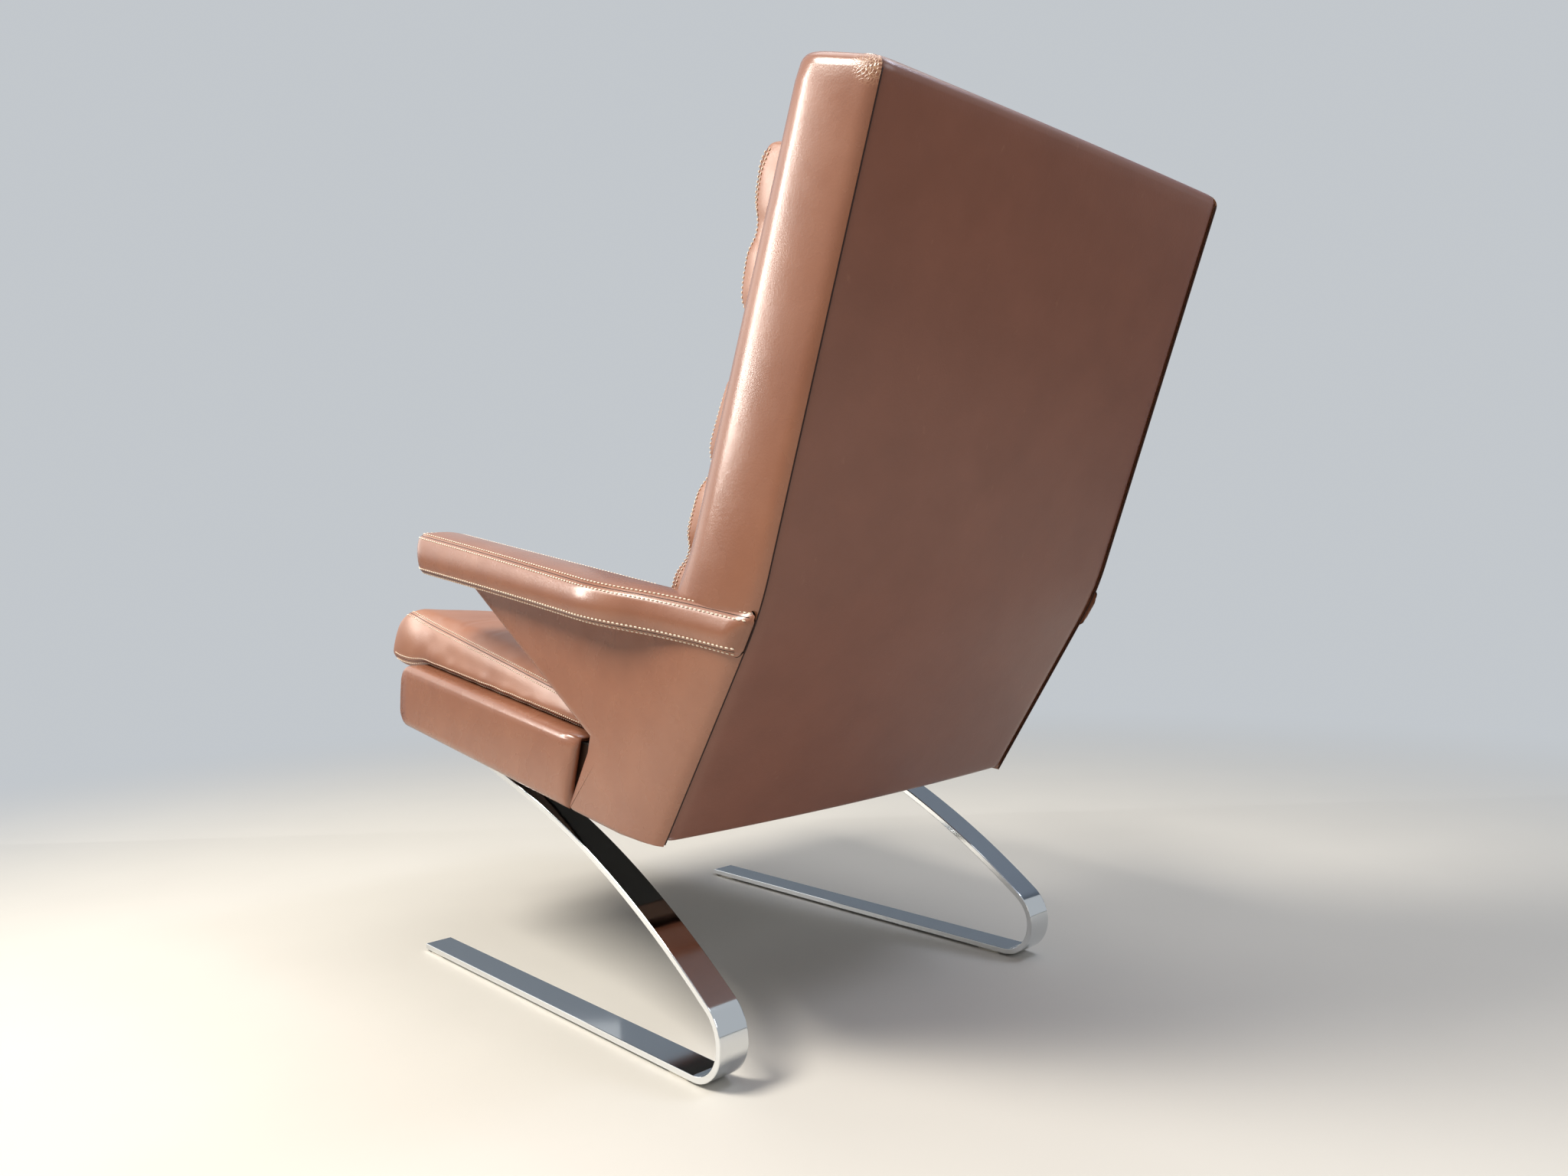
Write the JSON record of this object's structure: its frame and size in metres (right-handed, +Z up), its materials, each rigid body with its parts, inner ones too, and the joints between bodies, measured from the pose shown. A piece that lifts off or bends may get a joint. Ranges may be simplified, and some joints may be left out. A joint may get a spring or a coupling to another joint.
{
  "type": "cantilever lounge chair",
  "caption": "High-backed leather lounge chair on two cantilever skids of flat chromed spring steel, with padded armrests, a wedge seat cushion and a channelled back.",
  "frame": {"origin": "on the floor, under the centre of the chair's bounding box", "axes": "+Z up, the chair faces -Y, the sitter's left is +X; X = 0 is the plane of symmetry"},
  "size_m": [0.7052, 1.0952, 1.0365],
  "materials": {
    "leather": "satin",
    "back_leather": "satin",
    "spring_steel": "polished",
    "fastener_steel": "satin",
    "glide_plastic": "matte",
    "hardwood": "matte",
    "webbing": "matte",
    "dust_cloth": "matte"
  },
  "bodies": {
    "base": {"left_skid": "spring_steel", "left_front_glide": "glide_plastic", "left_rear_glide": "glide_plastic", "right_skid": "spring_steel", "right_front_glide": "glide_plastic", "right_rear_glide": "glide_plastic"},
    "seat": {"left_mount_plate": "fastener_steel", "left_front_bolt": "fastener_steel", "left_rear_bolt": "fastener_steel", "left_front_panel_bolt": "fastener_steel", "left_rear_panel_bolt": "fastener_steel", "left_seat_rail": "hardwood", "left_side_panel": "leather", "left_armrest": "leather", "left_back_stile": "hardwood", "right_mount_plate": "fastener_steel", "right_front_bolt": "fastener_steel", "right_rear_bolt": "fastener_steel", "right_front_panel_bolt": "fastener_steel", "right_rear_panel_bolt": "fastener_steel", "right_seat_rail": "hardwood", "right_side_panel": "leather", "right_armrest": "leather", "right_back_stile": "hardwood", "front_seat_rail": "hardwood", "rear_seat_rail": "hardwood", "seat_webbing": "webbing", "seat_box_cover": "leather", "dust_cover": "dust_cloth", "seat_cushion": "leather", "back_panel": "back_leather", "top_back_rail": "hardwood", "bottom_back_rail": "hardwood", "back_webbing": "webbing", "back_cushion": "leather", "head_cushion": "leather"}
  },
  "joints": [
    {"name": "skid_flex", "type": "hinge", "parent": "base", "child": "seat", "pos_m": [0, 0.2212, 0.053], "axis": [1, 0, 0], "range_deg": [-1, 4], "stiffness_Nm_per_rad": 6700, "springref_deg": -0.22, "deforming": ["left_skid", "right_skid"]}
  ]
}
